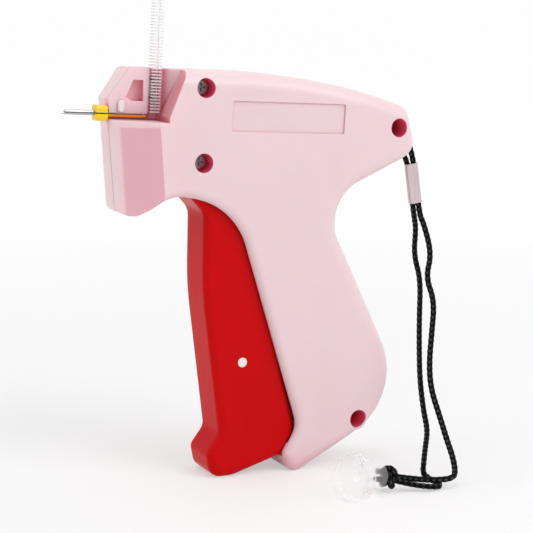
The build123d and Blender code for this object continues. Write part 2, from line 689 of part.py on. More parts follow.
# Slide with its rack, rod, guide and end stop
BUMPER_GAP = 0.4
SLIDE_REAR = RAIL_END - 0.1 - BUMPER_LENGTH - BUMPER_GAP
RACK_TEETH = int((SLIDE_REAR - SLIDE_FRONT) / TOOTH_PITCH)
rack_points = [(SLIDE_FRONT, SLIDE_LOW + 0.5)]
for k in range(-1, RACK_TEETH - 1):
    middle = PINION_U + TOOTH_PITCH * (k + 0.5)
    half = TOOTH_PITCH * TOOTH_SHARE / 2
    rack_points.append((middle - half * 1.6, RACK_LINE + MODULE))
    rack_points.append((middle - half * 0.4, RACK_LINE - TOOTH_HEIGHT))
    rack_points.append((middle + half * 0.4, RACK_LINE - TOOTH_HEIGHT))
    rack_points.append((middle + half * 1.6, RACK_LINE + MODULE))
rack_points.append((SLIDE_REAR, RACK_LINE + MODULE))
rack_points.append((SLIDE_REAR, SLIDE_LOW + 0.5))
rack_points.insert(1, (SLIDE_FRONT, RACK_LINE + MODULE))

with BuildPart() as slide:
    add(block(SLIDE_FRONT, SLIDE_REAR, SLIDE_LOW, SLIDE_TOP, -SLIDE_HALF, SLIDE_HALF))
    chamfer(slide.edges().filter_by(Axis(spot(0, 0), U_DIR)), 0.5)
    add(prism(rack_points, 0.6, 3.4))
    add(bore(SLIDE_FRONT - 1, SLIDE_FRONT + 10.1, 0, 0, ROD_RADIUS + 0.01), mode=Mode.SUBTRACT)
slide.part.label = "slide"
export_step(slide.part, "parts/slide.step")

with BuildPart() as plunger_rod:
    add(bore(ROD_TIP, SLIDE_FRONT + 10, 0, 0, ROD_RADIUS))
plunger_rod.part.label = "plunger_rod"
export_step(plunger_rod.part, "parts/plunger_rod.step")

with BuildPart() as rod_guide:
    add(bore(CHANNEL_REAR + 0.65, HEAD_BACK - 0.1, 0, 0, 1.5))
    add(bore(CHANNEL_REAR, HEAD_BACK, 0, 0, ROD_RADIUS + PIN_GAP), mode=Mode.SUBTRACT)
rod_guide.part.label = "rod_guide"
export_step(rod_guide.part, "parts/rod_guide.step")

with BuildPart() as slide_bumper:
    bumper_front = SLIDE_REAR + BUMPER_GAP
    add(block(bumper_front, bumper_front + BUMPER_LENGTH, SLIDE_LOW + 0.1, SLIDE_TOP, -4.0, 4.0))
    chamfer(slide_bumper.edges().filter_by(Axis(spot(0, 0), U_DIR)), 0.6)
slide_bumper.part.label = "slide_bumper"
export_step(slide_bumper.part, "parts/slide_bumper.step")

# Needle: slotted tube with a ground tip and a six-sided root, in a hub whose shank lies in the head
needle_end = CHANNEL_FRONT - 0.25
hub_rear = -NOSE_BULGE - 0.1
hub_front = hub_rear - HUB_LENGTH
with BuildPart() as needle_tube:
    with Locations(across(-NEEDLE_REACH)):
        Cone(NEEDLE_TIP, NEEDLE_RADIUS, TIP_LENGTH, align=(Align.CENTER, Align.CENTER, Align.MIN))
    add(bore(-NEEDLE_REACH + TIP_LENGTH, hub_front - NEEDLE_COLLAR, 0, 0, NEEDLE_RADIUS))
    with BuildSketch(across(hub_front - NEEDLE_COLLAR)):
        RegularPolygon(NEEDLE_ROOT, 6)
    extrude(amount=needle_end - hub_front + NEEDLE_COLLAR)
    add(bore(-NEEDLE_REACH - 1, needle_end + 1, 0, 0, NEEDLE_BORE), mode=Mode.SUBTRACT)
    add(
        block(-NEEDLE_REACH - 1, needle_end + 1, -NEEDLE_SLOT / 2, NEEDLE_SLOT / 2, 0, 3),
        mode=Mode.SUBTRACT,
    )
    point = [(-NEEDLE_REACH - 1, -2.0), (-NEEDLE_REACH - 1, 2.0), (-NEEDLE_REACH + 3.6, 2.0)]
    point += [(-NEEDLE_REACH - 0.2, -NEEDLE_TIP)]
    add(prism(point, -3, 3), mode=Mode.SUBTRACT)
needle_tube.part.label = "needle_tube"
export_step(needle_tube.part, "parts/needle_tube.step")

with BuildPart() as needle_hub:
    with BuildSketch(across(hub_front)):
        RectangleRounded(HUB_SIZE, HUB_SIZE, 1.2)
    extrude(amount=HUB_LENGTH)
    with BuildSketch(across(hub_rear)):
        RectangleRounded(SHANK_SIZE, SHANK_SIZE, 0.4)
    extrude(amount=needle_end - hub_rear)
    with BuildSketch(across(hub_front)):
        RegularPolygon(NEEDLE_ROOT + ROOT_GAP, 6)
    extrude(amount=needle_end - hub_front, mode=Mode.SUBTRACT)
    add(
        block(hub_front - 1, needle_end + 1, -NEEDLE_SLOT / 2, NEEDLE_SLOT / 2, 0, 5),
        mode=Mode.SUBTRACT,
    )
needle_hub.part.label = "needle_hub"
export_step(needle_hub.part, "parts/needle_hub.step")

with BuildPart() as needle_lock:
    with BuildSketch(SIDE.offset(PLATE_FACE + 0.1)):
        with Locations((LOCK_U, LOCK_V)):
            SlotOverall(3.9, 2.1, rotation=90)
    extrude(amount=1.1, dir=SIDE.z_dir)
    fillet(needle_lock.faces().sort_by(Axis.Y)[0].edges(), 0.45)
    add(round_bar(LOCK_U, LOCK_V, -1.4, PLATE_FACE + 0.2, 0.8))
needle_lock.part.label = "needle_lock"
export_step(needle_lock.part, "parts/needle_lock.step")

with BuildPart() as cutter_blade:
    blade = [(0.85, -0.05), (5.1, -0.05), (5.1, -2.3), (1.6, -2.3)]
    with BuildSketch(across(CHANNEL_FRONT - 0.15)):
        with BuildLine():
            Polyline(*[(-w, v) for v, w in blade], close=True)
        make_face()
    extrude(amount=0.3)
cutter_blade.part.label = "cutter_blade"
export_step(cutter_blade.part, "parts/cutter_blade.step")

# Fastener strip: two columns of bars joined by filaments
bar_rows = [STRIP_LOW + BAR_PITCH * k for k in range(BAR_COUNT)]
strip_top = bar_rows[-1] + BAR_SIZE / 2
with BuildPart() as fastener_strip:
    with BuildSketch(across(BAR_START)):
        with Locations(*[(0, v) for v in bar_rows], *[(-FILAMENT_LENGTH, v) for v in bar_rows]):
            Rectangle(BAR_SIZE, BAR_SIZE)
    extrude(amount=BAR_LENGTH)
    with BuildSketch(across(BAR_START + BAR_LENGTH - 0.5)):
        with Locations((0, (STRIP_LOW + strip_top) / 2)):
            Rectangle(0.24, strip_top - STRIP_LOW + BAR_SIZE / 2 - 0.05)
    extrude(amount=0.4)
    with BuildSketch(across(BAR_START + BAR_LENGTH / 2 - 0.2)):
        with Locations(*[(-FILAMENT_LENGTH / 2, v) for v in bar_rows]):
            Rectangle(FILAMENT_LENGTH, 0.3)
    extrude(amount=0.4)
fastener_strip.part.label = "fastener_strip"
export_step(fastener_strip.part, "parts/fastener_strip.step")

wheel_points = []
for k in range(WHEEL_TEETH):
    step = 360 / WHEEL_TEETH
    middle = 180 + step * k
    wheel_points.append(polar((0, 0), WHEEL_RADIUS - 0.42, middle - step * 0.24))
    wheel_points.append(polar((0, 0), WHEEL_RADIUS, middle - step * 0.07))
    wheel_points.append(polar((0, 0), WHEEL_RADIUS, middle + step * 0.07))
    wheel_points.append(polar((0, 0), WHEEL_RADIUS - 0.42, middle + step * 0.24))

with BuildPart() as feed_wheel:
    with BuildSketch(across(BAR_START + 0.2, WHEEL_V, WHEEL_W)):
        with BuildLine():
            Polyline(*wheel_points, close=True)
        make_face()
        Circle(0.8 + PIN_GAP, mode=Mode.SUBTRACT)
    extrude(amount=WHEEL_WIDTH - 0.1)
feed_wheel.part.label = "feed_wheel"
export_step(feed_wheel.part, "parts/feed_wheel.step")

with BuildPart() as feed_axle:
    add(bore(BAR_START - 1.3, HEAD_BACK - 0.2, WHEEL_V, WHEEL_W, 0.8))
feed_axle.part.label = "feed_axle"
export_step(feed_axle.part, "parts/feed_axle.step")

with BuildPart() as feed_pawl:
    low = WHEEL_W - WHEEL_RADIUS - 1.5
    leaf = [(low, -3.5), (low + 0.3, -3.5), (low + 0.3, 1.0), (low + 1.15, 2.4), (low + 0.85, 2.6)]
    leaf += [(low, 1.1)]
    with BuildSketch(across(BAR_START + 0.3, WHEEL_V, 0)):
        with BuildLine():
            Polyline(*[(-w, v) for w, v in leaf], close=True)
        make_face()
    extrude(amount=WHEEL_WIDTH - 0.3)
feed_pawl.part.label = "feed_pawl"
export_step(feed_pawl.part, "parts/feed_pawl.step")

with BuildPart() as case_screws:
    for u, v, seat in SCREWS:
        add(round_bar(u, v, seat, seat + SCREW_HEAD_HEIGHT, SCREW_HEAD_RADIUS))
        add(round_bar(u, v, seat + 0.1, SCREW_END, SCREW_RADIUS))
    for u, v, seat in SCREWS:
        slot_low = seat + SCREW_HEAD_HEIGHT - 0.8
        add(block(u - 1.4, u + 1.4, v - 0.3, v + 0.3, slot_low, 10), mode=Mode.SUBTRACT)
        add(block(u - 0.3, u + 0.3, v - 1.4, v + 1.4, slot_low, 10), mode=Mode.SUBTRACT)
case_screws.part.label = "case_screws"
export_step(case_screws.part, "parts/case_screws.step")

# Strap: two strands from a loop round the post, a flat sleeve, a knot and a cap
with BuildPart() as strap_post:
    add(round_bar(POST_U, POST_V, -7, 7, POST_RADIUS))
strap_post.part.label = "strap_post"
export_step(strap_post.part, "parts/strap_post.step")

FERRULE_TOP = (POST_U + 8.3, POST_V - 8.0)
FERRULE_LENGTH = 14.0
ferrule_lean = 4.0 / 20.0
FERRULE_BEND = 14.0
LONGEST_BEND = 60.0
KNOT = (33.2, -45.9, 4.7)
KNOT_RADIUS = 4.2
KNOT_CORD = 1.25

strand_a = [
    spot(POST_U - LOOP_RADIUS, POST_V),
    spot(POST_U - LOOP_RADIUS, POST_V - LOOP_RADIUS),
    spot(FERRULE_TOP[0] - 2.1, POST_V - LOOP_RADIUS - 0.3),
    spot(FERRULE_TOP[0] + 2.6, -32.9),
    (63.0, -9.5, 67.5),
    (61.6, -17.0, 46.0),
    (57.0, -28.0, 18.5),
    (51.6, -40.0, 11.0),
    (46.6, -47.0, 7.4),
    (46.9, -50.9, 5.0),
    (51.2, -51.7, 4.8),
    (50.8, -51.8, 1.05),
    (46.2, -50.9, 1.1),
    (40.4, -48.7, 2.3),
    (KNOT[0] + 1.9, KNOT[1] - 0.85, KNOT[2] - 0.75),
]
strand_b = [
    spot(POST_U - LOOP_RADIUS, POST_V),
    spot(POST_U - LOOP_RADIUS, POST_V + LOOP_RADIUS),
    spot(FERRULE_TOP[0] - 1.0, POST_V + LOOP_RADIUS),
    spot(FERRULE_TOP[0] + 4.8, -32.9),
    (69.4, -7.5, 70.5),
    (66.0, -14.0, 54.0),
    (66.2, -23.0, 31.0),
    (63.6, -30.5, 21.0),
    (60.0, -36.5, 14.0),
    (58.4, -43.0, 9.4),
    (56.9, -46.4, 5.6),
    (55.6, -48.4, 2.9),
    (51.0, -48.6, 2.2),
    (42.9, -47.2, 3.3),
    (KNOT[0] + 1.9, KNOT[1] + 0.85, KNOT[2] + 0.6),
]


def bend_radii(points):
    """Largest arcs that leave a short straight piece on each run."""
    vectors = [Vector(p) for p in points]
    radii = []
    for i in range(1, len(vectors) - 1):
        before = vectors[i] - vectors[i - 1]
        after = vectors[i + 1] - vectors[i]
        turn = math.radians(before.get_angle(after))
        share = 0.45 * min(before.length, after.length)
        radii.append(round(min(share / math.tan(turn / 2), LONGEST_BEND), 3))
    radii[0] = LOOP_RADIUS - 0.05
    radii[2] = min(radii[2], FERRULE_BEND)
    return radii


def strand(points):
    """Round cord along a run of straight pieces and arcs."""
    radii = bend_radii(points)
    with BuildPart() as cord:
        with BuildLine() as route:
            FilletPolyline(*points, radius=radii)
        with BuildSketch(Plane(origin=route.line @ 0, z_dir=route.line % 0)):
            Circle(CORD_RADIUS)
        sweep(path=route.line)
    length = route.wires()[0].length
    share = cord.part.volume / (math.pi * CORD_RADIUS**2 * length)
    print("bends", radii, "length", round(length, 1), "volume share", round(share, 4))
    return cord.part


strap_cord_a = strand(strand_a)
strap_cord_a.label = "strap_cord_a"
export_step(strap_cord_a, "parts/strap_cord_a.step")
strap_cord_b = strand(strand_b)
strap_cord_b.label = "strap_cord_b"
export_step(strap_cord_b, "parts/strap_cord_b.step")

ferrule_plane = Plane(
    origin=spot(*FERRULE_TOP),
    x_dir=(0, 1, 0),
    z_dir=SIDE.x_dir * ferrule_lean - SIDE.y_dir,
)
with BuildPart() as strap_ferrule:
    with BuildSketch(ferrule_plane):
        SlotOverall(4.9, 2.9, rotation=90)
    extrude(amount=FERRULE_LENGTH)
strap_ferrule.part.label = "strap_ferrule"
export_step(strap_ferrule.part, "parts/strap_ferrule.step")

# Clear cap, lying on its rim with its neck against the knot
CAP_RADIUS = 7.8
CAP_RIM = 2.4
CAP_NECK = 4.35
CAP_LENGTH = 13.0
CAP_BORE = 1.6
CAP_SEAT = 2.5
CAP_SEAT_DEPTH = 2.5
CAP_LEAN = math.radians(6.5)
CAP_HEADING = math.radians(20.0)
cap_height = CAP_RADIUS * math.cos(CAP_LEAN) + CAP_RIM * math.sin(CAP_LEAN)
cap_plane = Plane(
    origin=(16.5, -51.9, cap_height),
    x_dir=(-math.sin(CAP_HEADING), math.cos(CAP_HEADING), 0),
    z_dir=(
        math.cos(CAP_HEADING) * math.cos(CAP_LEAN),
        math.sin(CAP_HEADING) * math.cos(CAP_LEAN),
        -math.sin(CAP_LEAN),
    ),
)
with BuildPart() as needle_cap:
    with BuildSketch(Plane(origin=cap_plane.origin, x_dir=cap_plane.x_dir, z_dir=-cap_plane.y_dir)):
        with BuildLine():
            Polyline((CAP_BORE, CAP_RIM), (6.4, CAP_RIM), (6.6, 0), (CAP_RADIUS, 0), (CAP_RADIUS, CAP_RIM))
            Spline(
                (CAP_RADIUS, CAP_RIM),
                (CAP_NECK, 7.6),
                tangents=[(0, 1), (-0.15, 1)],
            )
            Polyline((CAP_NECK, 7.6), (CAP_NECK, CAP_LENGTH), (CAP_SEAT, CAP_LENGTH))
            Line((CAP_SEAT, CAP_LENGTH), (CAP_SEAT, CAP_LENGTH - CAP_SEAT_DEPTH))
            Line((CAP_SEAT, CAP_LENGTH - CAP_SEAT_DEPTH), (CAP_BORE, CAP_LENGTH - CAP_SEAT_DEPTH))
            Line((CAP_BORE, CAP_LENGTH - CAP_SEAT_DEPTH), (CAP_BORE, CAP_RIM))
        make_face()
    revolve(axis=Axis(cap_plane.origin, cap_plane.z_dir))
needle_cap.part.label = "needle_cap"
export_step(needle_cap.part, "parts/needle_cap.step")

# Knot: two crossed turns round a core, with the cord's cut ends in the cap's neck
END_OFFSET = 1.1
END_REACH = 1.2
neck_end = cap_plane.offset(CAP_LENGTH - END_REACH).origin
with BuildPart() as strap_knot:
    with Locations(Location(KNOT)):
        Sphere(KNOT_RADIUS - 1.6)
    with Locations(Plane(origin=KNOT, z_dir=(0.97, 0.1, -0.2))):
        Torus(KNOT_RADIUS - KNOT_CORD, KNOT_CORD)
    with Locations(Plane(origin=KNOT, z_dir=(0.75, -0.6, 0.3))):
        Torus(KNOT_RADIUS - KNOT_CORD - 0.4, KNOT_CORD)
    for side in (-END_OFFSET, END_OFFSET):
        start = Vector(KNOT) + cap_plane.x_dir * side
        run = neck_end + cap_plane.x_dir * side - start
        with BuildSketch(Plane(origin=start, z_dir=run)):
            Circle(CORD_RADIUS)
        extrude(amount=run.length)
strap_knot.part.label = "strap_knot"
export_step(strap_knot.part, "parts/strap_knot.step")
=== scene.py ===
import math

import bpy
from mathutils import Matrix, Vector


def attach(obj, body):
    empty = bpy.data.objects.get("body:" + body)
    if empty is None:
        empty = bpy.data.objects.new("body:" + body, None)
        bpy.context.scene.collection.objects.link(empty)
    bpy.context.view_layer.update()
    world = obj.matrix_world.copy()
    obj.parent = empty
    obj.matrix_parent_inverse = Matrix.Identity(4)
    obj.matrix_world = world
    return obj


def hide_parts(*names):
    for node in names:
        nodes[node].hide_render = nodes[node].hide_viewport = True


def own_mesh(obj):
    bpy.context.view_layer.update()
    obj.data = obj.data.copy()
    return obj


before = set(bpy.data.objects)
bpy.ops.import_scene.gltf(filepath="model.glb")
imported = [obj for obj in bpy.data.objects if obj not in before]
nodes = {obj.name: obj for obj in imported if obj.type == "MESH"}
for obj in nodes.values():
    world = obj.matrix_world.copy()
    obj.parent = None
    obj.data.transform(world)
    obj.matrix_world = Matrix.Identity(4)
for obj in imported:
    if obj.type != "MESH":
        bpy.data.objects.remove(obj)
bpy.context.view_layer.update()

MM = 0.001

# The gun's own directions are u, rearward along the needle, and v, up from it. Sizes are in millimetres
TILT = math.radians(3.5)
AXIS_HEIGHT = 123.6
NOSE_X = -45.65
HALF_WIDTH = 12.5

# Strap: its cord, and the places that its route starts from
CORD_RADIUS = 0.95
CORD_SIDES = 24
POST_U = 103.6
POST_V = -6.6
LOOP_RADIUS = 2.55
FERRULE_U = 111.9
BELOW_FERRULE_V = -32.9

# Braid of the cord: yarns each way, length of a turn, and its lowest and added radius as shares
BRAID_YARNS = 2
BRAID_LEAD = 8.0
BRAID_LOW = 0.88
BRAID_RISE = 0.24

# Knot: its middle and direction, a trefoil's sizes, and the rise and length of the two cut ends
KNOT = Vector((33.2, -45.9, 4.7))
KNOT_AHEAD = Vector((0.97, 0.1, -0.2)).normalized()
KNOT_SIZE = 1.1
KNOT_CORE = 1.9
KNOT_DEPTH = 1.25
KNOT_STEPS = 240
CUT_ENDS = [(1.7, 4.4), (-0.9, 4.6)]
CUT_END_SIDE = 0.9
CUT_END_STEPS = 20
CUT_END_SHARE = 0.92

# Return spring: its pin and slope, where its coil starts and ends along the axis, and its coil and wire
SPRING_PIN = (47.8, -81.7)
SPRING_SLOPE = math.radians(10.5)
SPRING_START = 5.5
SPRING_END = 44.7
SPRING_RADIUS = 3.4
SPRING_WIRE = 0.45
SPRING_WIRE_SIDES = 10
SPRING_TURNS = 9
SPRING_TURN_STEPS = 40

# Nose of the housing: raked front and the cheek panels beside it, where shade is painted
NOSE_FRONT = (-1.1, 4.6)
NOSE_RAKE = math.radians(6.9)
PANEL_BORDER = 1.5
PANEL_END = 13.2
PANEL_TOP = 119.6

# Head recess, where shade is painted: the plate on the far half, its window, and the ramp and wall
# behind the fastener strip
PLATE_FACE = 1.8
WINDOW_FLOOR = 1.6
WINDOW_END = 11.5
RAMP_START = 16.0
RAMP_END = 25.0
RAMP_HEIGHT = 6.0
EDGE_LOW = (15.8, -1.9)
EDGE_LEAN = math.radians(20.05)
# Distance over which corners and recesses get painted shade
SHADE_REACH = 12.0

# Screw recesses in the left shell
SCREW_SPOTS = [(28.4, 9.7), (28.9, -14.6), (100.2, -1.5), (91.3, -102.3)]
SCREW_RECESS_RADIUS = 3.15

# Photograph's camera, in metres and pixels
VIEW_TARGET = (0.00995, 0.0, 0.0695)
VIEW_SIDE = math.radians(-24.0)
VIEW_RISE = math.radians(9.7)
VIEW_DISTANCE = 0.609
FOCAL_PIXELS = 1791
PICTURE_WIDTH = 533
SENSOR = 36.0

# Floor, in metres: its half size, and the share of plain white from near the object to far away
FLOOR_SIZE = 12.0
WHITE_NEAR = 0.12
WHITE_FAR = 0.55
WHITE_LOW = 0.45
WHITE_HIGH = 0.97

# Colours
PINK = (0.90, 0.66, 0.69)
# Deeper pink: painted shade on the nose's cheek panels
CHEEK_SHADE = (0.80, 0.46, 0.52)
# Rose: painted shade in the recesses; the brighter rose below is painted shade in the head
SHADE_ROSE = (0.62, 0.13, 0.19)
HEAD_SHADE_ROSE = (0.97, 0.36, 0.46)
# Deep rose: painted shade in the screw recesses
HOLE_SHADE_ROSE = (0.90, 0.14, 0.27)
SEAM = (0.30, 0.16, 0.18)
PALE_PINK = (0.90, 0.76, 0.77)
RED = (0.60, 0.004, 0.006)
YELLOW = (0.96, 0.64, 0.008)
ORANGE = (0.82, 0.24, 0.008)
MILKY = (0.94, 0.94, 0.93)
WARM_WHITE = (0.87, 0.85, 0.82)
WHITE = (0.86, 0.85, 0.83)
GREY = (0.33, 0.33, 0.34)
BLACK = (0.03, 0.03, 0.03)
# Cord colours: painted shade in the valleys between yarns and painted highlight on their crests
YARN_VALLEY_SHADE = (0.0015, 0.0015, 0.0015)
YARN_CREST_HIGHLIGHT = (0.09, 0.09, 0.094)
HAZE = (0.95, 0.95, 0.96)
CLEAR = (0.99, 0.99, 0.99)
STEEL = (0.62, 0.62, 0.63)
DARK_STEEL = (0.27, 0.24, 0.25)
BLADE_STEEL = (0.55, 0.56, 0.58)
BRASS = (0.72, 0.52, 0.2)
ROSY_METAL = (0.72, 0.60, 0.62)


def spot(u, v):
    """Place in millimetres, in the middle plane, of a point given in the gun's own directions."""
    x = NOSE_X + u * math.cos(TILT) + v * math.sin(TILT)
    z = AXIS_HEIGHT - u * math.sin(TILT) + v * math.cos(TILT)
    return Vector((x, 0.0, z))


# Material nodes


def new_material(name):
    """Empty node material with its shader and its object coordinates."""
    material = bpy.data.materials.new(name)
    material.use_nodes = True
    tree = material.node_tree
    shader = tree.nodes["Principled BSDF"]
    place = tree.nodes.new("ShaderNodeTexCoord").outputs["Object"]
    return material, tree, shader, place


def noise(tree, place, scale, detail=4.0):
    """Noise value at a scale per metre."""
    node = tree.nodes.new("ShaderNodeTexNoise")
    node.inputs["Scale"].default_value = scale
    node.inputs["Detail"].default_value = detail
    node.inputs["Roughness"].default_value = 0.55
    tree.links.new(place, node.inputs["Vector"])
    return node.outputs["Fac"]


def ramp(tree, value, start, end, low=0.0, high=1.0):
    """Value that goes from low to high as another goes from start to end."""
    node = tree.nodes.new("ShaderNodeMapRange")
    node.inputs["From Min"].default_value = start
    node.inputs["From Max"].default_value = end
    node.inputs["To Min"].default_value = low
    node.inputs["To Max"].default_value = high
    tree.links.new(value, node.inputs["Value"])
    return node.outputs["Result"]


def ramp_mm(tree, value, start, end, low=0.0, high=1.0):
    """Ramp over a distance whose start and end are in millimetres."""
    return ramp(tree, value, start * MM, end * MM, low, high)


def spread(tree, value, low, high):
    """Noise value stretched between two limits."""
    return ramp(tree, value, 0.3, 0.7, low, high)


def both(tree, first, second, operation):
    """Two values joined by one operation; the second is a number or an output."""
    node = tree.nodes.new("ShaderNodeMath")
    node.operation = operation
    tree.links.new(first, node.inputs[0])
    if isinstance(second, float):
        node.inputs[1].default_value = second
    else:
        tree.links.new(second, node.inputs[1])
    return node.outputs["Value"]


def product(tree, value, *others):
    """Value times all the others."""
    for other in others:
        value = both(tree, value, other, "MULTIPLY")
    return value


def axes(tree, place):
    """X, Y and Z of a place."""
    node = tree.nodes.new("ShaderNodeSeparateXYZ")
    tree.links.new(place, node.inputs["Vector"])
    return node.outputs["X"], node.outputs["Y"], node.outputs["Z"]


def mixed(tree, share, first, second):
    """Colour between two colours; each is a colour or an output."""
    node = tree.nodes.new("ShaderNodeMix")
    node.data_type = "RGBA"
    for socket, value in ((node.inputs[6], first), (node.inputs[7], second)):
        if isinstance(value, tuple):
            socket.default_value = (*value, 1.0)
        else:
            tree.links.new(value, socket)
    tree.links.new(share, node.inputs[0])
    return node.outputs[2]


def bump(tree, shader, height, strength, distance, soft=0.0):
    """Fine relief on a shader from a height value, with edges softened over a radius."""
    node = tree.nodes.new("ShaderNodeBump")
    node.inputs["Strength"].default_value = strength
    node.inputs["Distance"].default_value = distance
    tree.links.new(height, node.inputs["Height"])
    if soft:
        edge = tree.nodes.new("ShaderNodeBevel")
        edge.samples = 6
        edge.inputs["Radius"].default_value = soft
        tree.links.new(edge.outputs["Normal"], node.inputs["Normal"])
    tree.links.new(node.outputs["Normal"], shader.inputs["Normal"])


def darker(colour, factor):
    """Colour scaled by a factor."""
    return tuple(channel * factor for channel in colour)


def glow_through(shader, weight, radius):
    """Let light spread under the surface, over a radius for each colour."""
    shader.inputs["Subsurface Weight"].default_value = weight
    shader.inputs["Subsurface Radius"].default_value = radius
    shader.inputs["Subsurface Scale"].default_value = 1.0


# Masks on the shell


def hole_shade_mask(tree, place):
    """Mask of painted shade in the screw recesses, which are in the left half only."""
    flat = tree.nodes.new("ShaderNodeVectorMath")
    flat.operation = "MULTIPLY"
    flat.inputs[1].default_value = (1.0, 0.0, 1.0)
    tree.links.new(place, flat.inputs[0])
    nearest = None
    for u, v in SCREW_SPOTS:
        middle = spot(u, v) * MM
        gap = tree.nodes.new("ShaderNodeVectorMath")
        gap.operation = "DISTANCE"
        gap.inputs[1].default_value = middle
        tree.links.new(flat.outputs["Vector"], gap.inputs[0])
        value = gap.outputs["Value"]
        nearest = value if nearest is None else both(tree, nearest, value, "MINIMUM")
    close = ramp_mm(tree, nearest, SCREW_RECESS_RADIUS + 0.02, SCREW_RECESS_RADIUS + 0.12, 1.0, 0.0)
    _, y, _ = axes(tree, place)
    left = ramp_mm(tree, y, -1.0, -0.5, 1.0, 0.0)
    return product(tree, close, left)


def behind_line(tree, place, corner, lean):
    """Distance behind a line that, seen from the side, leans from upright through a corner."""
    x, _, z = axes(tree, place)
    start = spot(*corner) * MM
    back = product(tree, both(tree, x, -start.x, "ADD"), math.cos(lean))
    up = product(tree, both(tree, z, -start.z, "ADD"), math.sin(lean))
    return both(tree, back, up, "ADD")


def cheek_shade_panels(tree, place):
    """Mask of the panels on both cheeks of the nose, where deeper pink is painted shade."""
    _, _, z = axes(tree, place)
    along = behind_line(tree, place, NOSE_FRONT, NOSE_RAKE - TILT)
    front = ramp_mm(tree, along, PANEL_BORDER, PANEL_BORDER + 0.9)
    rear = ramp_mm(tree, along, PANEL_END, PANEL_END + 0.25, 1.0, 0.0)
    top = ramp_mm(tree, z, PANEL_TOP - 0.6, PANEL_TOP, 1.0, 0.0)
    return product(tree, front, rear, top)


def parting_line(tree, place):
    """Mask of the line where the two halves of the shell meet."""
    _, y, _ = axes(tree, place)
    squared = both(tree, y, 2.0, "POWER")
    return ramp(tree, squared, 0.01 * MM**2, 0.05 * MM**2, 0.75, 0.0)


def recess_shade_mask(tree):
    """Painted shade mask from ambient occlusion: 1 in corners and recesses, 0 on open faces."""
    node = tree.nodes.new("ShaderNodeAmbientOcclusion")
    node.samples = 8
    node.inputs["Distance"].default_value = SHADE_REACH * MM
    return ramp(tree, node.outputs["AO"], 0.45, 0.95, 1.0, 0.0)


def rear_wall_shade(tree, place):
    """Mask of painted shade on the wall between the ramp and the left side's outer face."""
    x, y, _ = axes(tree, place)
    edge = behind_line(tree, place, EDGE_LOW, -EDGE_LEAN - TILT)
    front = ramp_mm(tree, edge, 0.1, 0.3, 0.7, 0.0)
    outer = ramp_mm(tree, y, 0.3 - HALF_WIDTH, 0.6 - HALF_WIDTH)
    inner = ramp_mm(tree, y, -RAMP_HEIGHT - 0.2, -RAMP_HEIGHT + 0.2, 1.0, 0.0)
    past = ramp_mm(tree, x, NOSE_X + RAMP_START, NOSE_X + RAMP_START + 0.3)
    return product(tree, front, outer, inner, past)


def window_shade_share(tree, place):
    """Share of the painted shade: 0.3 on the floor of the plate's window, which is painted lighter, 1
    elsewhere.
    """
    x, y, _ = axes(tree, place)
    deep = ramp_mm(tree, y, WINDOW_FLOOR - 0.4, WINDOW_FLOOR - 0.1)
    ahead = ramp_mm(tree, x, NOSE_X + WINDOW_END, NOSE_X + WINDOW_END + 0.5, 1.0, 0.0)
    return ramp(tree, product(tree, deep, ahead), 0.0, 1.0, 1.0, 0.3)


def paint_recess_shade(tree, place, tint):
    """Painted shade: colour turned to rose in recesses, deep on the ramp, bright in the head, faint
    elsewhere.
    """
    x, y, _ = axes(tree, place)
    beside = ramp_mm(tree, x, NOSE_X + RAMP_START - 1.0, NOSE_X + RAMP_START, 0.3, 1.0)
    behind = ramp_mm(tree, x, NOSE_X + RAMP_END, NOSE_X + RAMP_END + 3.0, 1.0, 0.35)
    inside = ramp_mm(tree, y, 0.2 - PLATE_FACE, 0.6 - PLATE_FACE)
    head = both(tree, beside, inside, "MAXIMUM")
    shade = product(tree, recess_shade_mask(tree), head, behind, window_shade_share(tree, place))
    share = both(tree, shade, rear_wall_shade(tree, place), "MAXIMUM")
    # Rose mixed over the colour is painted shade
    return mixed(tree, share, tint, mixed(tree, inside, SHADE_ROSE, HEAD_SHADE_ROSE))


# Materials


def plastic(name, colour, gloss=0.3, grain=0.25, shine=0.5, soft=0.0):
    """Moulded plastic with faint flow marks and a fine skin; its material, shader, place and tint."""
    material, tree, shader, place = new_material(name)
    flow = spread(tree, noise(tree, place, 45.0), 0.0, 1.0)
    tint = mixed(tree, flow, darker(colour, 0.97), colour)
    tree.links.new(tint, shader.inputs["Base Color"])
    dull = spread(tree, noise(tree, place, 160.0), gloss - 0.04, gloss + 0.06)
    tree.links.new(dull, shader.inputs["Roughness"])
    shader.inputs["Specular IOR Level"].default_value = shine
    bump(tree, shader, noise(tree, place, 1400.0, 2.0), grain, 0.00004, soft)
    return material, shader, place, tint


def plain_plastic(name, colour, **finish):
    """Moulded plastic of one colour."""
    return plastic(name, colour, **finish)[0]


def metal(name, colour, gloss=0.3, lines=(1.0, 1.0, 1.0)):
    """Metal with fine working marks stretched along its length."""
    material, tree, shader, place = new_material(name)
    stretch = tree.nodes.new("ShaderNodeMapping")
    stretch.inputs["Scale"].default_value = lines
    tree.links.new(place, stretch.inputs["Vector"])
    marks = noise(tree, stretch.outputs["Vector"], 900.0, 6.0)
    tint = mixed(tree, spread(tree, marks, 0.0, 1.0), darker(colour, 0.78), colour)
    tree.links.new(tint, shader.inputs["Base Color"])
    shader.inputs["Metallic"].default_value = 1.0
    tree.links.new(spread(tree, marks, gloss - 0.08, gloss + 0.12), shader.inputs["Roughness"])
    bump(tree, shader, marks, 0.2, 0.00002)
    return material


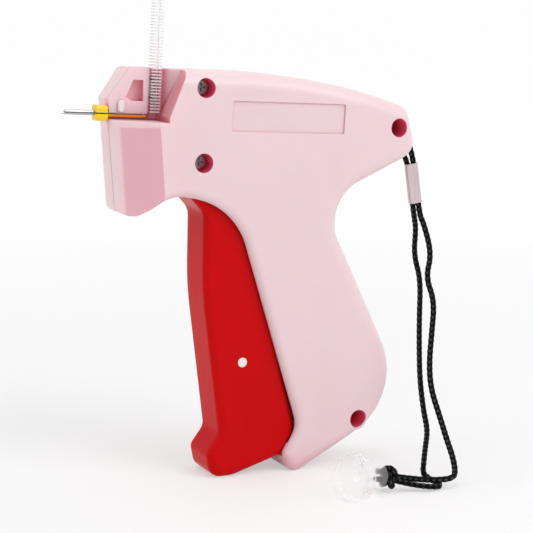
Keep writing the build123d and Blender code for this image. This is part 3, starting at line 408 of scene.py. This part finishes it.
def shell_plastic():
    """Pale pink shell: painted shade as deeper pink on the cheek panels and as rose in the recesses and
    screw recesses, and a fine parting line.
    """
    material, shader, place, tint = plastic(
        "pink_shell", PINK, gloss=0.34, grain=0.3, shine=0.4, soft=0.0004
    )
    tree = material.node_tree
    # Deeper pink on the cheek panels is painted shade
    tint = mixed(tree, cheek_shade_panels(tree, place), tint, CHEEK_SHADE)
    # Rose in the recesses is painted shade
    tint = paint_recess_shade(tree, place, tint)
    tint = mixed(tree, parting_line(tree, place), tint, SEAM)
    # Deep rose in the screw recesses is painted shade
    tint = mixed(tree, hole_shade_mask(tree, place), tint, HOLE_SHADE_ROSE)
    tree.links.new(tint, shader.inputs["Base Color"])
    glow_through(shader, 0.3, (0.006, 0.002, 0.0025))
    return material


def hub_plastic():
    """Yellow hub whose shank turns orange inside the head."""
    material, shader, place, tint = plastic("yellow_hub", YELLOW, grain=0.3)
    tree = material.node_tree
    x, _, _ = axes(tree, place)
    inside = ramp_mm(tree, x, NOSE_X - 1.4, NOSE_X - 0.8)
    tree.links.new(mixed(tree, inside, tint, ORANGE), shader.inputs["Base Color"])
    return material


def fastener_plastic():
    """Milky plastic of the fasteners, which lets some light through."""
    material, shader, _, _ = plastic("fastener_white", MILKY, gloss=0.4, grain=0.15)
    glow_through(shader, 0.9, (0.004, 0.004, 0.004))
    return material


def cord_fibre():
    """Black braided cord with a painted highlight on its raised yarns and painted shade between them.
    """
    material, tree, shader, place = new_material("black_cord")
    fibres = noise(tree, place, 2600.0, 5.0)
    relief = tree.nodes.new("ShaderNodeAttribute")
    relief.attribute_name = "weave"
    # Lighter colour on the yarn crests is a painted highlight
    crest_highlight = product(tree, ramp(tree, relief.outputs["Fac"], 0.5, 1.0), spread(tree, fibres, 0.4, 1.0))
    tree.links.new(mixed(tree, crest_highlight, YARN_VALLEY_SHADE, YARN_CREST_HIGHLIGHT), shader.inputs["Base Color"])
    shader.inputs["Roughness"].default_value = 0.5
    shader.inputs["Specular IOR Level"].default_value = 0.05
    bump(tree, shader, fibres, 0.5, 0.00006)
    return material


def clear_plastic():
    """Clear moulded cap with a faint milky haze."""
    material, tree, shader, place = new_material("clear_cap")
    haze = noise(tree, place, 120.0, 2.0)
    tint = mixed(tree, spread(tree, haze, 0.0, 1.0), HAZE, CLEAR)
    tree.links.new(tint, shader.inputs["Base Color"])
    tree.links.new(spread(tree, haze, 0.25, 0.35), shader.inputs["Roughness"])
    shader.inputs["Transmission Weight"].default_value = 0.7
    shader.inputs["IOR"].default_value = 1.1
    shader.inputs["Alpha"].default_value = 0.3
    bump(tree, shader, haze, 0.05, 0.00005)
    return material


pink = shell_plastic()
red = plain_plastic("red_trigger", RED, gloss=0.15, grain=0.1, shine=0.04, soft=0.0005)
lock_pale = plain_plastic("lock_pale", PALE_PINK, gloss=0.2, grain=0.1, shine=0.6)
white = plain_plastic("white_moulding", WHITE, gloss=0.42)
fastener = fastener_plastic()
pin_white = plain_plastic("pin_white", WARM_WHITE, gloss=0.35, grain=0.2)
grey = plain_plastic("grey_moulding", GREY, gloss=0.5)
rubber = plain_plastic("black_rubber", BLACK, gloss=0.75, grain=0.6)
yellow = hub_plastic()
needle_steel = metal("needle_steel", STEEL, gloss=0.24, lines=(0.1, 1.0, 1.0))
pin_steel = metal("pin_steel", STEEL, lines=(1.0, 0.1, 1.0))
screw_steel = metal("screw_steel", DARK_STEEL, gloss=0.35)
blade_steel = metal("blade_steel", BLADE_STEEL, gloss=0.28, lines=(1.0, 1.0, 0.1))
brass = metal("brass_guide", BRASS, gloss=0.32, lines=(0.1, 1.0, 1.0))
ferrule_metal = metal("ferrule_metal", ROSY_METAL, gloss=0.34, lines=(1.0, 1.0, 0.15))
black = cord_fibre()
clear = clear_plastic()

finishes = {
    "left_shell": pink,
    "right_shell": pink,
    "needle_lock": lock_pale,
    "trigger": red,
    "spring_pin": pin_white,
    "spring_seat": grey,
    "pinion": white,
    "slide": white,
    "feed_wheel": white,
    "slide_bumper": rubber,
    "needle_hub": yellow,
    "needle_tube": needle_steel,
    "plunger_rod": needle_steel,
    "rod_guide": brass,
    "trigger_pivot_pin": pin_steel,
    "pinion_axle": pin_steel,
    "pinion_washers": pin_steel,
    "feed_axle": needle_steel,
    "feed_pawl": blade_steel,
    "cutter_blade": blade_steel,
    "case_screws": screw_steel,
    "strap_post": pin_steel,
    "fastener_strip": fastener,
    "strap_ferrule": ferrule_metal,
    "needle_cap": clear,
    "return_spring": pin_steel,
    "strap_cord_a": black,
    "strap_cord_b": black,
    "strap_knot": black,
}
for name, material in finishes.items():
    for material_slot in nodes[name].material_slots:
        material_slot.material = material


# Shapes


def mesh_object(name, points, faces, material, weave=()):
    """Smooth mesh from points in millimetres, with the relief of its weave if it has one."""
    mesh = bpy.data.meshes.new(name)
    mesh.from_pydata([point * MM for point in points], [], faces)
    mesh.materials.append(material)
    for face in mesh.polygons:
        face.use_smooth = True
    if weave:
        relief = mesh.attributes.new("weave", "FLOAT", "POINT")
        relief.data.foreach_set("value", weave)
    made = bpy.data.objects.new(name, mesh)
    bpy.context.scene.collection.objects.link(made)
    return made


def sides_along(path, closed):
    """Two directions across each point of a path, which turn as little as they can."""
    count = len(path)
    found = []
    side = None
    for i in range(count):
        before = path[i - 1] if i or closed else path[0]
        after = path[(i + 1) % count] if i < count - 1 or closed else path[-1]
        ahead = (after - before).normalized()
        if side is None:
            side = ahead.cross(Vector((0.3, 0.2, 1.0))).normalized()
        side = (side - ahead * side.dot(ahead)).normalized()
        found.append((side, ahead.cross(side)))
    return found


def tube(path, radius, sides, weave_at=None, closed=False):
    """Points, faces and relief of a tube; its weave, from 0 to 1, follows length and angle."""
    points = []
    faces = []
    weave = []
    travelled = 0.0
    for i, (side, up) in enumerate(sides_along(path, closed)):
        if i:
            travelled += (path[i] - path[i - 1]).length
        for k in range(sides):
            angle = 2 * math.pi * k / sides
            relief = weave_at(travelled, angle) if weave_at else 0.5
            reach = radius * (BRAID_LOW + BRAID_RISE * relief)
            points.append(path[i] + (side * math.cos(angle) + up * math.sin(angle)) * reach)
            weave.append(relief)
    rings = len(path)
    for i in range(rings if closed else rings - 1):
        low = i * sides
        high = ((i + 1) % rings) * sides
        for k in range(sides):
            turn = (k + 1) % sides
            faces.append((low + k, low + turn, high + turn, high + k))
    if not closed:
        faces.append(tuple(range(sides))[::-1])
        faces.append(tuple(range((rings - 1) * sides, rings * sides)))
    return points, faces, weave


def braid(length, angle):
    """Relief of a cord braided from two sets of yarns that cross."""
    turn = 2 * math.pi * length / BRAID_LEAD
    one_way = math.cos(BRAID_YARNS * (angle + turn))
    other_way = math.cos(BRAID_YARNS * (angle - turn))
    return 0.5 + 0.5 * one_way * other_way


def spline_points(route):
    """Points of the smooth line whose control points are the route's, in millimetres."""
    curve = bpy.data.curves.new("route", "CURVE")
    curve.dimensions = "3D"
    curve.resolution_u = 48
    line = curve.splines.new("NURBS")
    line.points.add(len(route) - 1)
    for place, control in zip(line.points, route):
        place.co = (*control, 1.0)
    line.order_u = 3
    line.use_endpoint_u = True
    carrier = bpy.data.objects.new("route", curve)
    bpy.context.scene.collection.objects.link(carrier)
    bpy.context.view_layer.update()
    found = bpy.data.meshes.new_from_object(carrier)
    points = [vertex.co.copy() for vertex in found.vertices]
    bpy.data.objects.remove(carrier)
    return points


def strand(name, route, node):
    """One braided strand of the strap, and its path in metres."""
    path = spline_points(route)
    points, faces, weave = tube(path, CORD_RADIUS, CORD_SIDES, braid)
    made = mesh_object(name, points, faces, black, weave)
    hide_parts(node)
    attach(made, "housing")
    return made, [point * MM for point in path]


strand_a_route = [
    spot(POST_U - LOOP_RADIUS, POST_V),
    spot(POST_U - LOOP_RADIUS, POST_V - LOOP_RADIUS),
    spot(FERRULE_U - 2.1, POST_V - LOOP_RADIUS - 0.3),
    spot(FERRULE_U + 2.6, BELOW_FERRULE_V),
    (64.6, -5.4, 80.0),
    (62.2, -8.3, 71.5),
    (63.6, -11.0, 63.0),
    (61.0, -15.2, 51.0),
    (59.0, -19.0, 41.0),
    (57.1, -23.2, 30.6),
    (56.4, -27.4, 20.6),
    (54.8, -33.4, 15.2),
    (50.2, -40.0, 11.2),
    (46.2, -46.2, 7.4),
    (46.6, -45.2, 4.6),
    (48.6, -44.6, 2.6),
    (50.6, -45.8, 1.4),
    (51.2, -48.4, 1.1),
    (49.6, -51.0, 1.1),
    (45.6, -51.6, 1.7),
    (40.8, -48.9, 2.2),
    (KNOT.x + 1.9, KNOT.y - 0.7, KNOT.z - 1.0),
]
strand_b_route = [
    spot(POST_U - LOOP_RADIUS, POST_V),
    spot(POST_U - LOOP_RADIUS, POST_V + LOOP_RADIUS),
    spot(FERRULE_U - 1.0, POST_V + LOOP_RADIUS),
    spot(FERRULE_U + 4.8, BELOW_FERRULE_V),
    (68.0, -4.4, 82.0),
    (69.8, -7.5, 71.0),
    (66.1, -10.2, 63.4),
    (67.8, -13.6, 55.4),
    (64.6, -17.6, 44.6),
    (61.8, -21.2, 35.6),
    (60.2, -25.4, 27.6),
    (60.2, -32.0, 19.2),
    (59.4, -38.4, 12.8),
    (58.6, -43.8, 8.6),
    (57.6, -47.6, 4.6),
    (55.0, -50.8, 3.2),
    (48.6, -49.9, 3.1),
    (42.0, -46.9, 3.5),
    (KNOT.x + 1.9, KNOT.y - 0.2, KNOT.z + 0.3),
]

cord_a, path_a = strand("strand_a", strand_a_route, "strap_cord_a")
cord_b, path_b = strand("strand_b", strand_b_route, "strap_cord_b")


def knot_piece():
    """Tight knot of the same cord, with its two cut ends in the cap's neck."""
    side = KNOT_AHEAD.cross(Vector((0, 0, 1))).normalized()
    up = side.cross(KNOT_AHEAD)
    loop = []
    for i in range(KNOT_STEPS):
        angle = 2 * math.pi * i / KNOT_STEPS
        reach = KNOT_SIZE * (KNOT_CORE + math.cos(3 * angle))
        flat = side * math.sin(2 * angle) + up * math.cos(2 * angle)
        loop.append(KNOT + flat * reach + KNOT_AHEAD * (KNOT_DEPTH * math.sin(3 * angle)))
    points, faces, weave = tube(loop, CORD_RADIUS, CORD_SIDES, braid, closed=True)
    for rise, length in CUT_ENDS:
        start = KNOT + up * rise - side * CUT_END_SIDE
        end = start - KNOT_AHEAD * length
        run = [start.lerp(end, i / CUT_END_STEPS) for i in range(CUT_END_STEPS + 1)]
        more, extra, relief = tube(run, CORD_RADIUS * CUT_END_SHARE, CORD_SIDES, braid)
        shift = len(points)
        points += more
        weave += relief
        faces += [tuple(index + shift for index in face) for face in extra]
    made = mesh_object("knot", points, faces, black, weave)
    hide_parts("strap_knot")
    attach(made, "housing")
    return made


knot = knot_piece()


def spring_axis(distance):
    """Place on the return spring's axis at a distance from its pin."""
    u = SPRING_PIN[0] + math.cos(SPRING_SLOPE) * distance
    v = SPRING_PIN[1] + math.sin(SPRING_SLOPE) * distance
    return spot(u, v)


def spring_piece():
    """Coil of the return spring along its axis from the pin."""
    ahead = (spring_axis(1) - spring_axis(0)).normalized()
    side = Vector((0, 1, 0))
    up = ahead.cross(side)
    steps = SPRING_TURN_STEPS * SPRING_TURNS
    path = []
    for i in range(steps + 1):
        angle = 2 * math.pi * SPRING_TURNS * i / steps
        middle = spring_axis(SPRING_START + (SPRING_END - SPRING_START) * i / steps)
        path.append(middle + (side * math.cos(angle) + up * math.sin(angle)) * SPRING_RADIUS)
    points, faces, _ = tube(path, SPRING_WIRE, SPRING_WIRE_SIDES)
    made = mesh_object("spring_coil", points, faces, pin_steel)
    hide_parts("return_spring")
    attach(made, "housing")
    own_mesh(made)


spring_piece()


# Floor, light and camera


def seen_rays(tree):
    """1 for rays of the camera, of reflections and through clear pieces."""
    rays = tree.nodes.new("ShaderNodeLightPath")
    value = rays.outputs["Is Camera Ray"]
    for name in ("Is Glossy Ray", "Is Transmission Ray"):
        value = both(tree, value, rays.outputs[name], "MAXIMUM")
    return value


def floor_finish():
    """Pale floor that turns to plain white away from the object and keeps the shadow near it."""
    material, tree, shader, place = new_material("floor")
    shader.inputs["Base Color"].default_value = (0.9, 0.9, 0.9, 1)
    shader.inputs["Roughness"].default_value = 0.6
    shader.inputs["Specular IOR Level"].default_value = 0.15
    glow = tree.nodes.new("ShaderNodeEmission")
    glow.inputs["Color"].default_value = (1, 1, 1, 1)
    reach = tree.nodes.new("ShaderNodeVectorMath")
    reach.operation = "LENGTH"
    tree.links.new(place, reach.inputs[0])
    share = ramp(tree, reach.outputs["Value"], WHITE_NEAR, WHITE_FAR, WHITE_LOW, WHITE_HIGH)
    blend = tree.nodes.new("ShaderNodeMixShader")
    tree.links.new(product(tree, seen_rays(tree), share), blend.inputs[0])
    tree.links.new(shader.outputs[0], blend.inputs[1])
    tree.links.new(glow.outputs[0], blend.inputs[2])
    tree.links.new(blend.outputs[0], tree.nodes["Material Output"].inputs["Surface"])
    return material


def floor_piece():
    """Wide floor that the gun stands on."""
    mesh = bpy.data.meshes.new("floor")
    corners = [(-1, -1), (1, -1), (1, 1), (-1, 1)]
    mesh.from_pydata([(x * FLOOR_SIZE, y * FLOOR_SIZE, 0) for x, y in corners], [], [(0, 1, 2, 3)])
    mesh.materials.append(floor_finish())
    made = bpy.data.objects.new("floor", mesh)
    bpy.context.scene.collection.objects.link(made)


def sky():
    """White surroundings; dimmer as a light than to the eye."""
    world = bpy.data.worlds.new("studio")
    world.use_nodes = True
    tree = world.node_tree
    back = tree.nodes["Background"]
    back.inputs["Color"].default_value = (1, 1, 1, 1)
    level = ramp(tree, seen_rays(tree), 0.0, 1.0, 0.55, 1.0)
    tree.links.new(level, back.inputs["Strength"])
    bpy.context.scene.world = world


def lamp(name, place, aim, size, power):
    """Soft square lamp."""
    light = bpy.data.lights.new(name, "AREA")
    light.shape = "SQUARE"
    light.size = size
    light.energy = power
    made = bpy.data.objects.new(name, light)
    made.location = place
    made.rotation_euler = (Vector(aim) - Vector(place)).to_track_quat("-Z", "Y").to_euler()
    bpy.context.scene.collection.objects.link(made)


def view_camera():
    """Camera where the photograph was taken from."""
    data = bpy.data.cameras.new("camera")
    data.sensor_width = SENSOR
    data.lens = SENSOR * FOCAL_PIXELS / PICTURE_WIDTH
    data.clip_start = 0.01
    made = bpy.data.objects.new("camera", data)
    level = math.cos(VIEW_RISE)
    back = Vector((math.sin(VIEW_SIDE) * level, -math.cos(VIEW_SIDE) * level, math.sin(VIEW_RISE)))
    made.location = Vector(VIEW_TARGET) + back * VIEW_DISTANCE
    made.rotation_euler = (-back).to_track_quat("-Z", "Y").to_euler()
    bpy.context.scene.collection.objects.link(made)
    bpy.context.scene.camera = made


floor_piece()
sky()
lamp("key", place=(0.55, -0.8, 0.85), aim=(0, 0, 0.07), size=0.7, power=6.2)
lamp("top", place=(-0.1, 0.1, 1.3), aim=(0, 0, 0.05), size=1.0, power=4.0)
lamp("fill", place=(-1.1, 0.15, 0.45), aim=(0, 0, 0.08), size=0.8, power=2.3)
view_camera()
bpy.context.scene.view_settings.view_transform = "Standard"
